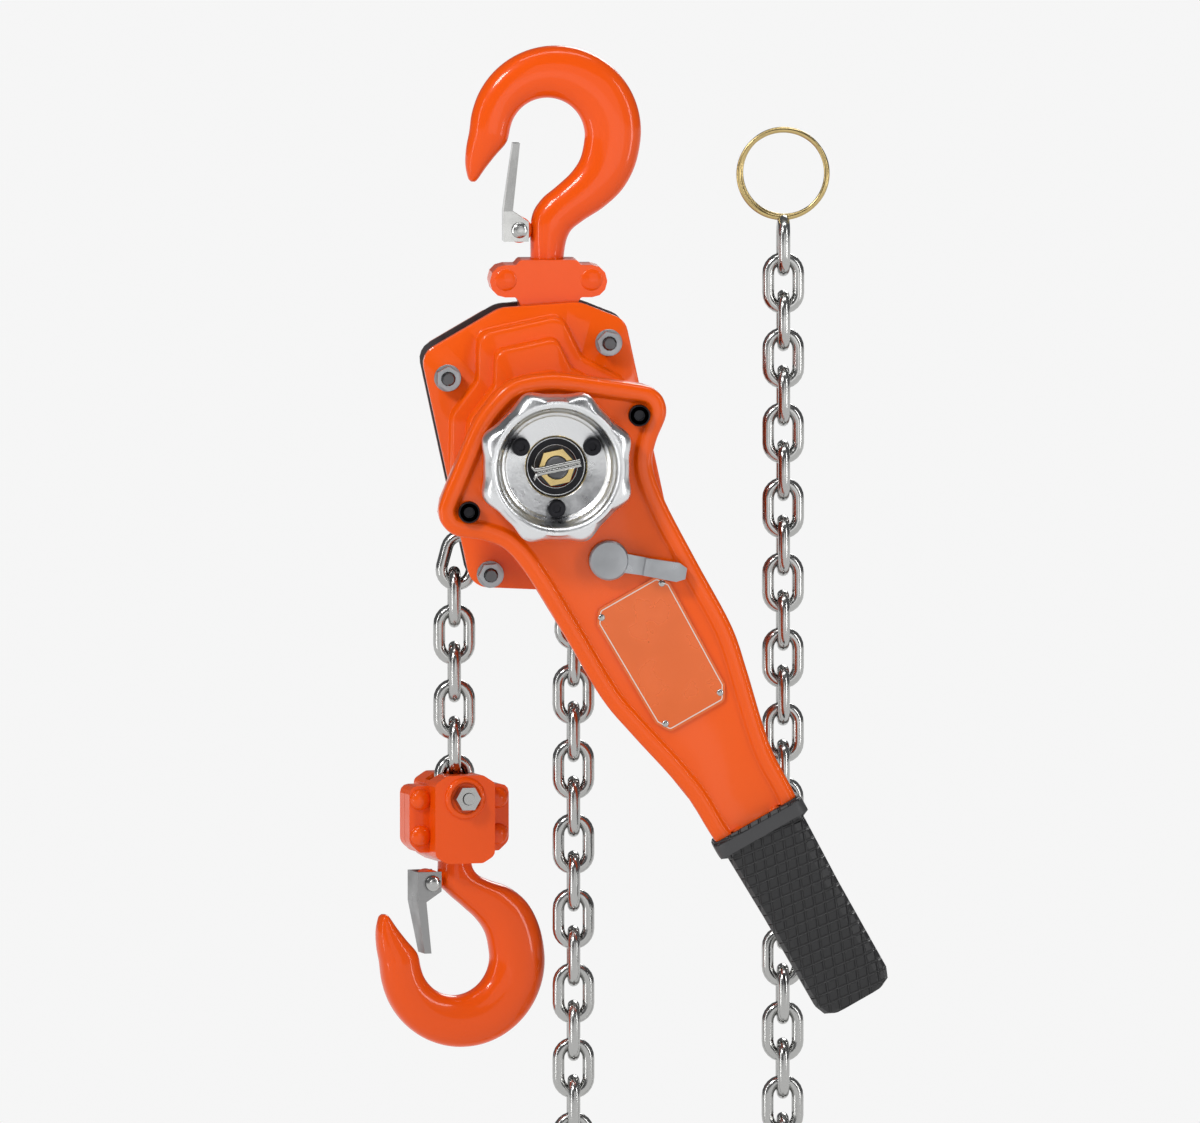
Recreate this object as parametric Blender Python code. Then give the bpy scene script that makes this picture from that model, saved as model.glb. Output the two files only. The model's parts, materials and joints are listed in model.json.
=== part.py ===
"""Lever chain hoist, 0.75 t class, hanging by its top hook.

Frame: the origin is the saddle of the top hook, where the hoist hangs. +Z is up along the load
line, +X is to the right seen from the hand wheel side, and +Y runs from the hand wheel to the
gear case. Everything is in metres.
"""

from math import atan2, cos, hypot, pi, radians, sin

import bmesh
import bpy
from mathutils import Euler, Matrix, Vector

MM = 0.001

# --- driving dimensions -------------------------------------------------------------------
CLEAR = 0.3 * MM                 # gap between pieces that touch
DRIVE_DROP = 171.5 * MM          # hook saddle to the drive axis
FRAME_TILT = radians(12.2)       # the frame hangs turned by this much
LEVER_TILT = radians(29.5)       # lever's angle from straight down
PIN_DROP = 108 * MM              # hook saddle to the suspension pin

CHAIN_WIRE = 2.9 * MM              # radius of the link's wire
CHAIN_PITCH = 18 * MM
CHAIN_HALF_WIDTH = 10.1 * MM     # outer half width of a link
LOAD_X = -44.6 * MM              # the loaded strand
BLOCK_PIN_Z = -334.6 * MM
FIRST_LINK_Z = -329.2 * MM
BLOCK_YAW = radians(15)
LOAD_LINKS = 6

PLATE_INNER = 15 * MM            # half gap between the side plates
PLATE_THICK = 4 * MM
PLATE_OUTER = PLATE_INNER + PLATE_THICK
SHEET = 2 * MM                   # pressed covers and shells
STAY_U = 39.4 * MM
STAY_V = 48.1 * MM
STAY_R = 5.4 * MM
STUD_R = 3.2 * MM

BOWL_R = 18 * MM
HOOK_OUTER_R = 41 * MM
HOOK_OUTER_SHIFT = Vector((4 * MM, -2 * MM))
HOOK_HALF_THICK = 8.6 * MM
BOTTOM_BOWL_Z = -413 * MM

SHEAVE_POCKETS = 5
SHEAVE_R = 32.6 * MM
GEAR_MODULE = 1.25 * MM
PINION_TEETH = 12
WHEEL_TEETH = 32
GEAR_CENTRES = GEAR_MODULE * (PINION_TEETH + WHEEL_TEETH) / 2
RATCHET_PHASE = radians(-17)     # puts a tooth just behind each pawl's nose

LEVER_BOLT_Q = 46.5 * MM
SELECTOR_P = 52 * MM
SELECTOR_TURN = radians(50.8)
LEVER_FRONT_Y = -69 * MM
LEVER_SPLIT_Y = -57 * MM
LEVER_BACK_Y = -46 * MM
GRIP_START = 195 * MM
GRIP_END = 294 * MM

WHEEL_FRONT_Y = -91 * MM
WHEEL_BACK_Y = -71.5 * MM
WHEEL_R = 35.7 * MM
WHEEL_LOBE = 1.6 * MM
WHEEL_CORNER = 0.35 * MM
WHEEL_LOBES = 8

RING_R = 20.9 * MM
RING_WIRE = 1.4 * MM
RING_CENTRE = Vector((113.3 * MM, 0, -36.5 * MM))
SLACK_TUBE_R = 5.7 * MM          # a solid tube of this radius weighs what the links do

# Route of the slack chain: off the wheel, down, round its hanging loop and up to the end ring.
SLACK_ROUTE = [
    (22.5, -205.0), (18.3, -227.0), (14.6, -246.0), (12.9, -266.0), (12.6, -300.0),
    (12.6, -360.0), (12.6, -430.0), (12.6, -500.0), (12.6, -570.0), (12.6, -640.0),
    (12.6, -700.0), (13.6, -745.0), (19.0, -786.0), (34.0, -817.0), (63.0, -830.0),
    (92.0, -817.0), (106.9, -786.0), (112.3, -745.0), (113.3, -700.0), (113.3, -640.0),
    (113.3, -570.0), (113.3, -500.0), (113.3, -430.0), (113.3, -360.0), (113.3, -290.0),
    (113.3, -220.0), (113.3, -150.0), (113.3, -100.0), (113.3, -61.0),
]

ORANGE = ((0.82, 0.13, 0.012), 0.35, 0.0)
CAST_ALUMINIUM = ((0.62, 0.63, 0.64), 0.38, 1.0)
ZINC = ((0.72, 0.72, 0.70), 0.30, 1.0)
DARK_STEEL = ((0.20, 0.20, 0.21), 0.45, 1.0)
BLACK_OXIDE = ((0.02, 0.02, 0.022), 0.45, 0.6)
RUBBER = ((0.025, 0.025, 0.027), 0.65, 0.0)
YELLOW_ZINC = ((0.62, 0.50, 0.26), 0.30, 1.0)
LINING = ((0.16, 0.12, 0.09), 0.85, 0.0)
LABEL = ((0.72, 0.36, 0.16), 0.30, 0.6)


# --- helpers ------------------------------------------------------------------------------
def clear_scene():
    for obj in list(bpy.data.objects):
        bpy.data.objects.remove(obj, do_unlink=True)


def finish(name, look):
    """A Principled material of its own for one piece."""
    colour, roughness, metallic = look
    material = bpy.data.materials.new(name)
    material.use_nodes = True
    shader = material.node_tree.nodes["Principled BSDF"]
    shader.inputs["Base Color"].default_value = (*colour, 1)
    shader.inputs["Roughness"].default_value = roughness
    shader.inputs["Metallic"].default_value = metallic
    return material


def axis_empty(name, location, turn=0.0, yaw=0.0, parent=None):
    """An empty on a joint's axis: turn is about Y, yaw about Z."""
    empty = bpy.data.objects.new(name, None)
    empty.location = location
    empty.rotation_euler = Euler((0, turn, yaw))
    empty.parent = parent
    bpy.context.scene.collection.objects.link(empty)
    return empty


def make(name, bm, look, parent=None, location=(0, 0, 0), turn=0.0, sharp=32):
    """Turns a bmesh into a named, shaded object."""
    bmesh.ops.recalc_face_normals(bm, faces=bm.faces)
    mesh = bpy.data.meshes.new(name)
    bm.to_mesh(mesh)
    bm.free()
    mesh.shade_smooth()
    mesh.set_sharp_from_angle(angle=radians(sharp))
    obj = bpy.data.objects.new(name, mesh)
    obj.location = location
    obj.rotation_euler = Euler((0, turn, 0))
    obj.parent = parent
    if look is not None:
        mesh.materials.append(finish(name, look))
    bpy.context.scene.collection.objects.link(obj)
    return obj


def combine(obj, bm, operation):
    """Cuts a helper from an object, or joins it on, with an exact Boolean."""
    helper = make(obj.name + "_" + operation.lower(), bm, None, obj.parent)
    helper.location = obj.location
    helper.rotation_euler = obj.rotation_euler
    helper.hide_render = True
    helper.display_type = "WIRE"
    modifier = obj.modifiers.new(operation.title(), "BOOLEAN")
    modifier.operation = operation
    modifier.solver = "EXACT"
    modifier.object = helper
    return helper


def cut(obj, bm):
    return combine(obj, bm, "DIFFERENCE")


def join(obj, bm):
    return combine(obj, bm, "UNION")


def skin(bm, rings, wrap=False, cap=True):
    """Faces between rings of equal length: wrap closes last to first, cap closes both ends."""
    loops = [[bm.verts.new(point) for point in ring] for ring in rings]
    pairs = list(zip(loops, loops[1:]))
    if wrap:
        pairs.append((loops[-1], loops[0]))
    for first, second in pairs:
        for i in range(len(first)):
            j = (i + 1) % len(first)
            bm.faces.new((first[i], first[j], second[j], second[i]))
    if cap and not wrap:
        bm.faces.new(loops[0])
        bm.faces.new(loops[-1])
    return bm


def level(outline, y):
    return [(x, y, z) for x, z in outline]


def prism(outline, y0, y1, bm=None):
    """An outline in X and Z, extruded from y0 to y1."""
    return skin(bm or bmesh.new(), [level(outline, y0), level(outline, y1)])


def circle(radius, centre=(0, 0), count=16, phase=0.0):
    steps = [phase + 2 * pi * i / count for i in range(count)]
    return [(centre[0] + radius * cos(a), centre[1] + radius * sin(a)) for a in steps]


def turned(profile, centre=(0, 0), count=20):
    """A solid turned about a line parallel to Y, from (y, radius) steps."""
    rings = [level(circle(radius, centre, count), y) for y, radius in profile]
    return skin(bmesh.new(), rings)


def upright(profile, centre=(0, 0), count=20):
    """A solid turned about a vertical line, from (z, radius) steps."""
    rings = []
    for z, radius in profile:
        rings.append([(x, y, z) for x, y in circle(radius, centre, count)])
    return skin(bmesh.new(), rings)


def tube_ring(profile, centre=(0, 0), count=24):
    """A turned solid with a hole: its (y, radius) profile is a closed loop."""
    rings = [level(circle(radius, centre, count), y) for y, radius in profile]
    return skin(bmesh.new(), rings, wrap=True)


def washer(y0, y1, inner, outer, centre=(0, 0), count=24):
    return tube_ring([(y0, inner), (y0, outer), (y1, outer), (y1, inner)], centre, count)


def rounded(corners, arc_steps=4):
    """A closed outline from (x, z, radius) corners in millimetres, each corner an arc."""
    points = [Vector((x, z)) * MM for x, z, _ in corners]
    outline = []
    for i, corner in enumerate(points):
        radius = corners[i][2] * MM
        back = (points[i - 1] - corner).normalized()
        ahead = (points[(i + 1) % len(points)] - corner).normalized()
        if radius == 0:
            outline.append(tuple(corner))
            continue
        half = back.angle(ahead) / 2
        reach = radius / abs(sin(half)) * cos(half)
        middle = corner + (back + ahead).normalized() * (radius / sin(half))
        start = corner + back * reach - middle
        stop = corner + ahead * reach - middle
        first = atan2(start.y, start.x)
        sweep = (atan2(stop.y, stop.x) - first + pi) % (2 * pi) - pi
        for k in range(arc_steps + 1):
            a = first + sweep * k / arc_steps
            outline.append((middle.x + radius * cos(a), middle.y + radius * sin(a)))
    return outline


def inset(outline, depth):
    """The outline moved inwards along its normals by depth."""
    area = sum(a[0] * b[1] - b[0] * a[1] for a, b in zip(outline, outline[1:] + outline[:1]))
    side = 1 if area > 0 else -1
    moved = []
    for i, point in enumerate(outline):
        before = Vector(outline[i - 1])
        after = Vector(outline[(i + 1) % len(outline)])
        along = (after - before).normalized()
        moved.append((point[0] - side * along.y * depth, point[1] + side * along.x * depth))
    return moved


def polar(outline, count):
    """The outline read at equal angles round the origin, so outlines can be lofted."""
    points = []
    for k in range(count):
        ray = Vector((cos(2 * pi * k / count), sin(2 * pi * k / count)))
        best = 0.0
        for a, b in zip(outline, outline[1:] + outline[:1]):
            edge = Vector((b[0] - a[0], b[1] - a[1]))
            cross = ray.x * edge.y - ray.y * edge.x
            if abs(cross) < 1e-12:
                continue
            reach = (a[0] * edge.y - a[1] * edge.x) / cross
            share = (a[0] * ray.y - a[1] * ray.x) / cross
            if -1e-9 <= share <= 1 + 1e-9:
                best = max(best, reach)
        points.append((ray.x * best, ray.y * best))
    return points


def scaled(outline, factor):
    return [(x * factor, z * factor) for x, z in outline]


def smooth_path(points, spacing):
    """Points every spacing along a Catmull-Rom curve through the given ones."""
    ends = [points[0] * 2 - points[1], *points, points[-1] * 2 - points[-2]]
    fine = []
    for a, b, c, d in zip(ends, ends[1:], ends[2:], ends[3:]):
        for k in range(24):
            t = k / 24
            fine.append(
                0.5 * (2 * b + (c - a) * t + (2 * a - 5 * b + 4 * c - d) * t ** 2
                       + (3 * b - a - 3 * c + d) * t ** 3)
            )
    fine.append(points[-1])
    total = sum((b - a).length for a, b in zip(fine, fine[1:]))
    count = max(2, round(total / spacing))
    path, walked, target = [fine[0]], 0.0, total / count
    for a, b in zip(fine, fine[1:]):
        step = (b - a).length
        while walked + step >= target * len(path) and len(path) < count:
            path.append(a + (b - a) * ((target * len(path) - walked) / step))
        walked += step
    path.append(fine[-1])
    return path


def section(centre, along, side, half_side, half_depth, count=10, power=2.6):
    """A rounded section across a centreline that lies in the XZ plane."""
    ring = []
    for k in range(count):
        a = 2 * pi * (k + 0.5) / count
        c, s = cos(a), sin(a)
        reach = (abs(c) ** power + abs(s) ** power) ** (-1 / power)
        offset = side * (half_side * reach * c)
        ring.append((centre.x + offset.x, half_depth * reach * s, centre.y + offset.y))
    return ring


# --- gears --------------------------------------------------------------------------------
def gear_outline(teeth, phase, backlash=0.16 * MM, slack=0.12 * MM):
    """Involute teeth with a little backlash; phase is the angle of one tooth's middle."""
    pitch_r = GEAR_MODULE * teeth / 2
    base_r = pitch_r * cos(radians(20))
    tip_r = pitch_r + GEAR_MODULE - slack
    root_r = pitch_r - 1.25 * GEAR_MODULE
    half_tooth = pi / (2 * teeth) - backlash / (2 * pitch_r)

    def flank(radius):
        if radius <= base_r:
            return 0.0
        roll = (radius ** 2 / base_r ** 2 - 1) ** 0.5
        return roll - atan2(roll, 1)

    outline = []
    low = max(base_r, root_r)
    radii = [low, tip_r]
    for tooth in range(teeth):
        middle = phase + 2 * pi * tooth / teeth
        halves = [half_tooth + flank(pitch_r) - flank(radius) for radius in radii]
        left = [(root_r, middle - halves[0])]
        left += [(radius, middle - half) for radius, half in zip(radii, halves)]
        right = [(radius, 2 * middle - a) for radius, a in reversed(left)]
        outline += [(radius * cos(a), radius * sin(a)) for radius, a in left + right]
    return outline


def ratchet_outline(teeth, root_r, tip_r, phase=0.0):
    outline = []
    for tooth in range(teeth):
        a = phase + 2 * pi * tooth / teeth
        b = a + 2 * pi / teeth * 0.86
        outline.append((tip_r * cos(a), tip_r * sin(a)))
        outline.append((root_r * cos(a + 0.03), root_r * sin(a + 0.03)))
        outline.append((tip_r * 0.97 * cos(b), tip_r * 0.97 * sin(b)))
    return outline


# --- chain and hooks ----------------------------------------------------------------------
def link_mesh(bend_steps=5, wire_steps=6):
    """One chain link standing in the XZ plane, centred on the origin."""
    bend_r = CHAIN_HALF_WIDTH - CHAIN_WIRE
    straight = CHAIN_PITCH / 2 + CHAIN_WIRE + CLEAR / 2 - bend_r
    rings = []
    for half in (0, 1):
        for k in range(bend_steps + 1):
            a = pi * k / bend_steps + pi * half
            out = Vector((cos(a), 0, sin(a)))
            middle = Vector((0, 0, straight if half == 0 else -straight)) + out * bend_r
            ring = []
            for j in range(wire_steps):
                b = 2 * pi * (j + 0.5) / wire_steps
                ring.append(middle + out * (CHAIN_WIRE * cos(b)) + Vector((0, CHAIN_WIRE * sin(b), 0)))
            rings.append(ring)
    return skin(bmesh.new(), rings, wrap=True)


def hook_sections(neck_squash):
    """Inner and outer edge points of the forging, tip first, bowl centre at the origin, shank up."""
    pairs = [((-33.2, 20.6), (-37.6, 20.2)), ((-29.5, 15.6), (-39.2, 13.6)),
             ((-24.6, 9.4), (-38.8, 6.0)), ((-19.4, 3.2), (-37.4, -1.4))]
    stations = [(Vector(a) * MM, Vector(b) * MM) for a, b in pairs]
    first, last, steps = radians(192), radians(366), 12
    for k in range(steps + 1):
        a = first + (last - first) * k / steps
        ray = Vector((cos(a), sin(a)))
        stations.append((ray * BOWL_R, ray * HOOK_OUTER_R + HOOK_OUTER_SHIFT))
    neck = [((16.0, 11.0), (42.0, 15.0)), ((11.5, 18.0), (36.0, 26.0)), ((4.5, 24.5), (27.0, 34.5)),
            ((-3.0, 31.0), (17.0, 41.0)), ((-7.6, 40.0), (10.5, 47.0))]
    for a, b in neck:
        inner = Vector((a[0], 32 + (a[1] - 32) * neck_squash if a[1] > 32 else a[1])) * MM
        outer = Vector((b[0], 32 + (b[1] - 32) * neck_squash if b[1] > 32 else b[1])) * MM
        stations.append((inner, outer))
    return stations


def hook_body(name, parent, bowl, up, neck, pin):
    """A swivel hook: up is -1 for the top hook, whose shank points down. Returns the object."""
    neck_squash = (neck - 32 * MM) / (26 * MM)
    stations = hook_sections(neck_squash)
    rings = []
    for i, (inner, outer) in enumerate(stations):
        thick = HOOK_HALF_THICK * min(1.0, 0.42 + 0.16 * i)
        side = outer - inner
        centre = (inner + outer) / 2
        ring = section(centre, None, side.normalized(), side.length / 2, thick)
        rings.append([(x, y, z * up) for x, y, z in ring])
    shank_r = 8 * MM
    for z in (neck, neck + 15.5 * MM):
        ring = section(Vector((0, z)), None, Vector((-1, 0)), -shank_r, shank_r, power=2.0)
        rings.append([(x, y, z * up) for x, y, z in ring])
    hook = make(name, skin(bmesh.new(), rings), ORANGE, parent, bowl, sharp=50)
    z0, z1 = sorted(((neck + 15 * MM) * up, (neck + 20 * MM) * up))
    join(hook, upright([(z0, 10.8 * MM), (z1, 10.8 * MM)]))
    lug = prism(circle(6.2 * MM, (pin[0], pin[1] * up), 14), -5 * MM, 5 * MM)
    join(hook, lug).name = name + "_lug"
    cut(hook, prism(circle(2.6 * MM, (pin[0], pin[1] * up), 10), -20 * MM, 20 * MM))
    return hook


def latch_body(name, parent, pin, bowl, up, reach):
    """A pressed channel hinged on the lug, whose free end rests inside the hook's tip."""
    local = Vector((bowl[0] - pin[0], bowl[2] - pin[2]))
    tip_x = local.x - 16.6 * MM
    spine_x = -7.6 * MM
    stations = [(-5.5, spine_x, 4.4, 8.0), (4.0, spine_x, 4.4, 8.0), (9.0, spine_x, -3.2, 8.0),
                (reach / MM, tip_x, tip_x / MM + 3.4, 5.2)]
    rings = []
    for height, spine, edge, half in stations:
        z = -height * MM * up
        x0, x1, y = spine, edge * MM, half * MM
        wall = 1.4 * MM
        rings.append([(x1, -y, z), (x0, -y, z), (x0, y, z), (x1, y, z),
                      (x1, y - wall, z), (x0 + wall, y - wall, z),
                      (x0 + wall, wall - y, z), (x1, wall - y, z)])
    latch = make(name, skin(bmesh.new(), rings), ZINC, parent)
    cut(latch, prism(circle(2.6 * MM, (0, 0), 10), -20 * MM, 20 * MM))
    return latch


def latch_pin(name, parent, location):
    """A rivet through the latch and the hook's lug."""
    shaft, head = 2.2 * MM, 3.6 * MM
    y, tip = 8.3 * MM, 10.2 * MM
    steps = [(-tip, 2.2 * MM), (-y - 0.8 * MM, head), (-y, head), (-y, shaft),
             (y, shaft), (y, head), (y + 0.8 * MM, head), (tip, 2.2 * MM)]
    return make(name, turned(steps, count=12), ZINC, parent, location)


def build_top_hook():
    bowl = Vector((0, 0, -BOWL_R))
    pin = Vector((-13.6 * MM, 0, bowl.z - 45 * MM))
    hook_body("top_hook", None, bowl, -1, 58 * MM, (pin.x, 45 * MM))
    latch_pin("top_latch_pin", None, pin)
    hinge = axis_empty("top_latch_axis", pin)
    latch_body("top_latch", hinge, pin, bowl, -1, 41.5 * MM)


def build_top_yoke():
    """Two castings that hold the hook's head and hang on the suspension pin."""
    axis = axis_empty("top_yoke_axis", (0, 0, -PIN_DROP))
    right = [(11, -11, 9), (13.6, 10, 3), (15.5, 13.2, 1.5), (28, 13.2, 7.2), (28, 28.6, 7.2),
             (15.5, 28.6, 1.5), (13.6, 31, 2)]
    outline = rounded(right + [(-x, z, r) for x, z, r in reversed(right)], 3)
    for name, y0, y1 in (("top_yoke_front", -13.9, -0.2), ("top_yoke_rear", 0.2, 13.9)):
        half = make(name, prism(outline, y0 * MM, y1 * MM), ORANGE, axis)
        neck, head = 8.4 * MM, 11.2 * MM
        steps = [(11.6, head), (17.4, head), (17.4, neck), (40, neck)]
        cut(half, upright([(z * MM, r) for z, r in steps]))
        cut(half, prism(circle(6.3 * MM), -20 * MM, 20 * MM)).name = name + "_pin_hole"


def build_chain():
    """The loaded strand's links, from the bottom block upwards."""
    axis = axis_empty("load_chain_axis", (LOAD_X, 0, BLOCK_PIN_Z))
    for number in range(LOAD_LINKS):
        face_on = number % 2 == 0
        link = make(f"chain_link_{number + 1}", link_mesh(), ZINC, axis, sharp=60)
        link.location = (0, 0, FIRST_LINK_Z + number * CHAIN_PITCH - BLOCK_PIN_Z)
        link.rotation_euler = Euler((0, 0, 0 if face_on else pi / 2))
        if number == 0:
            link.rotation_euler = Euler((0, 0, BLOCK_YAW))


def build_bottom_block():
    block = axis_empty("bottom_block_axis", (LOAD_X, 0, BLOCK_PIN_Z), yaw=BLOCK_YAW)
    side = [(9, 10.8, 3), (15, 7, 3), (15, -28, 4), (9, -31.5, 3)]
    body = rounded([(-x, z, r) for x, z, r in reversed(side)] + side, 3)
    wing = [(25, 5.5, 4), (25, -22, 5), (20, -26.5, 2)]
    wings = rounded([(-x, z, r) for x, z, r in reversed(wing)] + wing, 3)
    for name, way in (("bottom_block_front", -1), ("bottom_block_rear", 1)):
        half = make(name, prism(body, way * 0.2 * MM, way * 17 * MM), ORANGE, block)
        join(half, prism(wings, way * 0.2 * MM, way * 7.5 * MM))
        slot = [(-19.6, 30), (19.6, 30), (11.2, -1), (11.2, -11.5), (-11.2, -11.5), (-11.2, -1)]
        slot = [(x * MM, z * MM) for x, z in slot]
        cut(half, prism(slot, -4 * MM, 4 * MM)).name = name + "_link_slot"
        relief = [(-5.2 * MM, 30 * MM), (5.2 * MM, 30 * MM), (5.2 * MM, 7 * MM), (-5.2 * MM, 7 * MM)]
        cut(half, prism(relief, -8 * MM, 8 * MM)).name = name + "_relief"
        cut(half, prism(circle(3.7 * MM, count=12), -20 * MM, 20 * MM)).name = name + "_bore"
        neck, head = 8.4 * MM, 11.2 * MM
        steps = [(-40, neck), (-16.9, neck), (-16.9, head), (-10.9, head)]
        cut(half, upright([(z * MM, r) for z, r in steps])).name = name + "_shank_bore"
    pin = [(-23.5, 2.8), (-17.3, 2.8), (-17.3, 3.4), (17.3, 3.4), (17.3, 6.2), (20.8, 6.2), (21.4, 5.4)]
    make("chain_pin", turned([(y * MM, r * MM) for y, r in pin], count=12), ZINC, block)
    nut = prism(circle(6.2 * MM, count=6), -22.6 * MM, -17.6 * MM)
    skin_hole = prism(circle(3.1 * MM, count=12), -30 * MM, -10 * MM)
    cut(make("chain_pin_nut", nut, ZINC, block), skin_hole)

    bowl = Vector((0, 0, BOTTOM_BOWL_Z - BLOCK_PIN_Z))
    pin = Vector((-13.4 * MM, 0, bowl.z + 37 * MM))
    neck = 47 * MM
    hook_body("bottom_hook", block, bowl, 1, neck, (pin.x, 37 * MM))
    latch_pin("bottom_latch_pin", block, pin)
    hinge = axis_empty("bottom_latch_axis", pin, parent=block)
    latch_body("bottom_latch", hinge, pin, bowl, 1, 34 * MM)


# --- frame --------------------------------------------------------------------------------
PLATE = [(-49.5, 62, 9), (-8, 75.5, 14), (30, 70, 14), (49.5, 57, 9),
         (49.5, -52, 10), (8, -63, 20), (-8, -63, 20), (-49.5, -52, 10)]
STEP_ONE = [(-21, 66.5, 7), (20, 66.5, 7), (25, 45, 6), (42, 31, 10), (49, 0, 26), (35, -35, 26),
            (0, -49, 26), (-35, -35, 26), (-49, 0, 26), (-42, 31, 10), (-26, 45, 6)]
STEP_TWO = [(-15, 57, 5), (15, 57, 5), (19, 41, 5), (35, 27, 12), (42, 0, 24), (30, -30, 24),
            (0, -42, 24), (-30, -30, 24), (-42, 0, 24), (-35, 27, 12), (-19, 41, 5)]
GEAR_CASE = [(-20, 56, 16), (20, 56, 16), (38, 38, 22), (41, 0, 30), (38, -38, 22), (20, -56, 16),
             (-20, -56, 16), (-38, -38, 22), (-41, 0, 30), (-38, 38, 22)]
STAYS = [(-STAY_U, STAY_V), (STAY_U, STAY_V), (-STAY_U, -STAY_V), (STAY_U, -STAY_V)]


def to_frame(x, z):
    """A point in the hanging plane, in the tilted frame's own axes."""
    dx, dz = x, z + DRIVE_DROP
    c, s = cos(FRAME_TILT), sin(FRAME_TILT)
    return dx * c + dz * s, dz * c - dx * s


def stay_holes(y0, y1, radius=STUD_R + CLEAR):
    bm = bmesh.new()
    for stay in STAYS:
        prism(circle(radius, stay, 12), y0, y1, bm)
    return bm


def side_plate(name, frame, y0, y1):
    plate = make(name, prism(rounded(PLATE), y0, y1), ORANGE, frame)
    low, high = y0 - 5 * MM, y1 + 5 * MM
    holes = stay_holes(low, high)
    prism(circle(13.4 * MM, count=24), low, high, holes)
    prism(circle(6.3 * MM, to_frame(0, -PIN_DROP)), low, high, holes)
    cut(plate, holes)
    return plate


def build_frame(frame):
    side_plate("front_side_plate", frame, -PLATE_OUTER, -PLATE_INNER)
    rear = side_plate("rear_side_plate", frame, PLATE_INNER, PLATE_OUTER)
    sockets = bmesh.new()
    for way in (-1, 1):
        prism(circle(4.4 * MM, (0, way * GEAR_CENTRES)), 10 * MM, 25 * MM, sockets)
    cut(rear, sockets).name = "rear_side_plate_axle_holes"

    count = 40
    flange, one = polar(rounded(PLATE), count), polar(rounded(STEP_ONE), count)
    two = polar(rounded(STEP_TWO), count)
    base = -PLATE_OUTER - CLEAR
    top = base - 24 * MM
    hub = circle(14 * MM, count=count)
    rings = [(hub, top), (circle(37 * MM, count=count), top), (circle(40 * MM, count=count), base - 20.5 * MM),
             (circle(41.2 * MM, count=count), base - 14.5 * MM), (scaled(two, 0.985), base - 13.5 * MM),
             (two, base - 9 * MM), (scaled(one, 0.975), base - 7.5 * MM), (one, base - SHEET),
             (flange, base - SHEET), (flange, base), (scaled(one, 0.95), base),
             (scaled(one, 0.925), base - 5.5 * MM), (scaled(two, 0.95), base - 6.5 * MM),
             (scaled(two, 0.93), base - 11.5 * MM), (circle(38.6 * MM, count=count), base - 12.5 * MM),
             (circle(38 * MM, count=count), base - 20 * MM), (circle(35.5 * MM, count=count), top + SHEET),
             (hub, top + SHEET)]
    cover = make("brake_cover", skin(bmesh.new(), [level(o, y) for o, y in rings], wrap=True),
                 ORANGE, frame)
    cut(cover, stay_holes(base - 6 * MM, base + 4 * MM))

    case = polar(rounded(GEAR_CASE), 32)
    flange = polar(rounded(PLATE), 32)
    base = PLATE_OUTER + CLEAR
    rings = [(scaled(case, 0.2), 57), (scaled(case, 0.80), 57), (scaled(case, 0.93), 54),
             (case, 48), (scaled(case, 1.03), base / MM + 2), (flange, base / MM + 2),
             (flange, base / MM), (scaled(case, 0.985), base / MM), (scaled(case, 0.955), 47),
             (scaled(case, 0.89), 52.5), (scaled(case, 0.77), 54.8), (scaled(case, 0.2), 54.8)]
    shell = make("gear_case", skin(bmesh.new(), [level(o, y * MM) for o, y in rings]), ORANGE, frame)
    cut(shell, stay_holes(base - 4 * MM, base + 6 * MM))

    for number, stay in enumerate(STAYS, 1):
        steps = [(-31.5, 2.6), (-30.8, 3.2), (-14.7, 3.2), (-14.7, 5.4), (14.7, 5.4), (14.7, 3.2),
                 (21.6, 3.2), (21.6, 5.8), (25.4, 5.8), (26, 5)]
        steps = [(y * MM, r * MM) for y, r in steps]
        make(f"stay_bolt_{number}", turned(steps, count=10), ZINC, frame, (stay[0], 0, stay[1]))
        nut = prism(circle(5.9 * MM, count=6, phase=0.3 * number), -28 * MM, -21.6 * MM)
        nut = make(f"stay_nut_{number}", nut, ZINC, frame, (stay[0], 0, stay[1]))
        cut(nut, prism(circle(STUD_R + CLEAR, count=12), -40 * MM, 0))

    pin = to_frame(0, -PIN_DROP)
    steps = [(-18.8, 5.4), (-18.2, 6), (18.2, 6), (18.8, 5.4)]
    steps = [(y * MM, r * MM) for y, r in steps]
    make("suspension_pin", turned(steps, count=16), DARK_STEEL, frame,
         (pin[0], 0, pin[1]))
    guide = [to_frame(x * MM, z * MM) for x, z in ((-17, -209), (-6, -206.6), (6, -207.2), (6, -226),
                                                   (1, -231), (-11, -231), (-17, -225))]
    make("chain_guide", prism(guide, -14.7 * MM, 14.7 * MM), DARK_STEEL, frame)


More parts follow.
